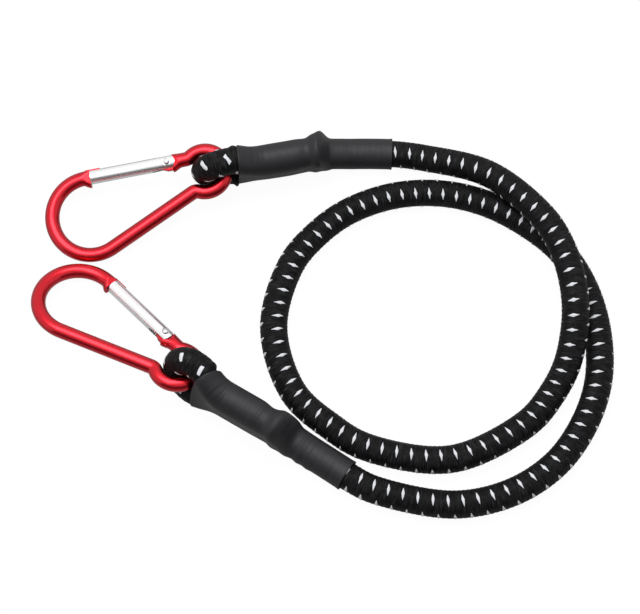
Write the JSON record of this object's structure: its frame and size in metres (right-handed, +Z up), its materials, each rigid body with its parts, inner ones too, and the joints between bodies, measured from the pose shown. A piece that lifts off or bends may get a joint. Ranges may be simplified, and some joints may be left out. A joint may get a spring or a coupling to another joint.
{
  "type": "bungee cord",
  "caption": "Round braided elastic bungee cord laid in a loose loop, with a sleeved eye and a spring-gate carabiner at each end.",
  "frame": {"origin": "middle of the bottom of the box round both ends, with their carabiners, eyes and sleeves, on the surface the cord lies on", "axes": "+Z up from the surface the cord lies on; +X from the carabiners towards the loop of cord; +Y from end b towards end a"},
  "size_m": [0.2561, 0.1768, 0.0315],
  "materials": {
    "braid": "black braided polyester with short white tracer flecks",
    "rubber_core": "natural latex, dull",
    "sleeve": "black heat-shrink tube, satin-matt, faintly rippled",
    "red_anodised": "bright red anodised, glossy",
    "bright_aluminium": "polished bare aluminium",
    "steel": "plain bright steel"
  },
  "bodies": {
    "cord": {"cord_cover": "braid", "cord_core": "rubber_core", "eye_cover_a": "braid", "eye_core_a": "rubber_core", "crimp_clamp_a": "steel", "heat_shrink_sleeve_a": "sleeve", "eye_cover_b": "braid", "eye_core_b": "rubber_core", "crimp_clamp_b": "steel", "heat_shrink_sleeve_b": "sleeve"},
    "carabiner_a": {"carabiner_body_a": "red_anodised"},
    "gate_arm_a": {"gate_a": "bright_aluminium", "gate_rivet_a": "steel", "gate_spring_a": "steel"},
    "plunger_a": {"gate_plunger_a": "steel"},
    "carabiner_b": {"carabiner_body_b": "red_anodised"},
    "gate_arm_b": {"gate_b": "bright_aluminium", "gate_rivet_b": "steel", "gate_spring_b": "steel"},
    "plunger_b": {"gate_plunger_b": "steel"}
  },
  "joints": [
    {"name": "carabiner_swing_a", "type": "hinge", "parent": "cord", "child": "carabiner_a", "pos_m": [0.0048, 0.0646, 0.01537], "axis": [0.2056, -0.9592, -0.1942], "range_deg": [-95.9, 84.1]},
    {"name": "gate_hinge_a", "type": "hinge", "parent": "carabiner_a", "child": "gate_arm_a", "pos_m": [-0.02161, 0.06705, 0.01426], "axis": [-0.0604, -0.2105, 0.9757], "range_deg": [0, 35], "stiffness_Nm_per_rad": 0.03, "springref_deg": -22.92},
    {"name": "plunger_travel_a", "type": "slide", "parent": "gate_arm_a", "child": "plunger_a", "axis": [-0.9821, -0.162, -0.0958], "range_m": [0, 0.001], "deforming": ["gate_spring_a"]},
    {"name": "carabiner_swing_b", "type": "hinge", "parent": "cord", "child": "carabiner_b", "pos_m": [-0.0069, -0.035, 0.01509], "axis": [-0.565, -0.7664, 0.3057], "range_deg": [-95.6, 84.4]},
    {"name": "gate_hinge_b", "type": "hinge", "parent": "carabiner_b", "child": "gate_arm_b", "pos_m": [-0.02066, -0.01362, 0.00976], "axis": [0.1026, 0.3024, 0.9477], "range_deg": [0, 35], "stiffness_Nm_per_rad": 0.03, "springref_deg": -22.92},
    {"name": "plunger_travel_b", "type": "slide", "parent": "gate_arm_b", "child": "plunger_b", "axis": [-0.6871, 0.7104, -0.1523], "range_m": [0, 0.001], "deforming": ["gate_spring_b"]}
  ],
  "couplings": [
    {"joint": "plunger_travel_a", "follows": "gate_hinge_a", "m_per_rad": 0.0016},
    {"joint": "plunger_travel_b", "follows": "gate_hinge_b", "m_per_rad": 0.0016}
  ]
}
